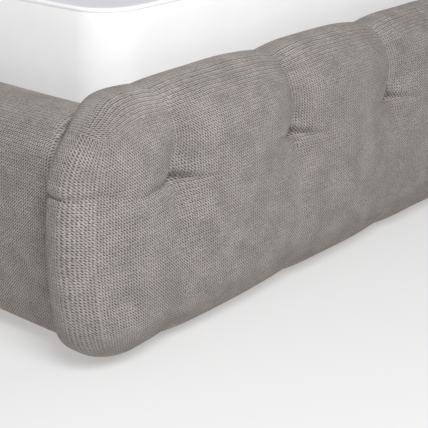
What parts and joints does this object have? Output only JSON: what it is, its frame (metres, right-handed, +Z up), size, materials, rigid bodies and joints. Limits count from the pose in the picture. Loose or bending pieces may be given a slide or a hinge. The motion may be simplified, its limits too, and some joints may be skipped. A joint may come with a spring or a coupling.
{
  "type": "upholstered bed",
  "caption": "Double bed with blind-tufted padded foot panel and headboard, plain padded side rails, timber frame, lift-out slatted base and mattress.",
  "frame": {"origin": "on the floor at the middle of the bed's plan", "axes": "+Z up, +Y from the foot panel to the headboard, +X to the right of someone at the foot who faces the head"},
  "size_m": [1.946, 2.287, 1.1],
  "materials": {
    "upholstery": "matte",
    "lining": "matte",
    "ticking": "matte",
    "plywood": "matte",
    "pine": "matte",
    "slat_wood": "satin",
    "webbing": "matte",
    "black_steel": "satin",
    "zinc": "satin",
    "foot_plastic": "matte"
  },
  "bodies": {
    "bedstead": {"beam_hanger_foot": "black_steel", "beam_hanger_head": "black_steel", "bolt_foot_left_lower": "zinc", "bolt_foot_left_upper": "zinc", "bolt_foot_right_lower": "zinc", "bolt_foot_right_upper": "zinc", "bolt_head_left_lower": "zinc", "bolt_head_left_upper": "zinc", "bolt_head_right_lower": "zinc", "bolt_head_right_upper": "zinc", "bracket_foot_left": "black_steel", "bracket_foot_right": "black_steel", "bracket_head_left": "black_steel", "bracket_head_right": "black_steel", "centre_beam": "black_steel", "centre_leg_foot": "black_steel", "centre_leg_head": "black_steel", "corner_foot_back_left": "foot_plastic", "corner_foot_back_right": "foot_plastic", "corner_foot_front_left": "foot_plastic", "corner_foot_front_right": "foot_plastic", "foot_bottom_rail": "pine", "foot_front_board": "plywood", "foot_inner_cover": "upholstery", "foot_pad": "upholstery", "foot_post_centre": "pine", "foot_post_left": "pine", "foot_post_right": "pine", "foot_top_rail": "pine", "head_back_cover": "lining", "head_batten_1": "pine", "head_batten_2": "pine", "head_batten_3": "pine", "head_batten_4": "pine", "head_front_board": "plywood", "head_pad": "upholstery", "head_post_left": "pine", "head_post_right": "pine", "rail_core_left": "plywood", "rail_core_right": "plywood", "rail_ledge_left": "pine", "rail_ledge_right": "pine", "rail_pad_left": "upholstery", "rail_pad_right": "upholstery"},
    "slatted_base": {"slat_01": "slat_wood", "slat_02": "slat_wood", "slat_03": "slat_wood", "slat_04": "slat_wood", "slat_05": "slat_wood", "slat_06": "slat_wood", "slat_07": "slat_wood", "slat_08": "slat_wood", "slat_09": "slat_wood", "slat_10": "slat_wood", "slat_11": "slat_wood", "slat_12": "slat_wood", "slat_tape_left": "webbing", "slat_tape_right": "webbing"},
    "loose_mattress": {"mattress": "ticking"}
  },
  "joints": [
    {"name": "slatted_base_lift", "type": "slide", "parent": "bedstead", "child": "slatted_base", "axis": [0, 0, 1], "range_m": [0, 0.25]},
    {"name": "mattress_lift", "type": "slide", "parent": "slatted_base", "child": "loose_mattress", "axis": [0, 0, 1], "range_m": [0, 0.35]}
  ]
}
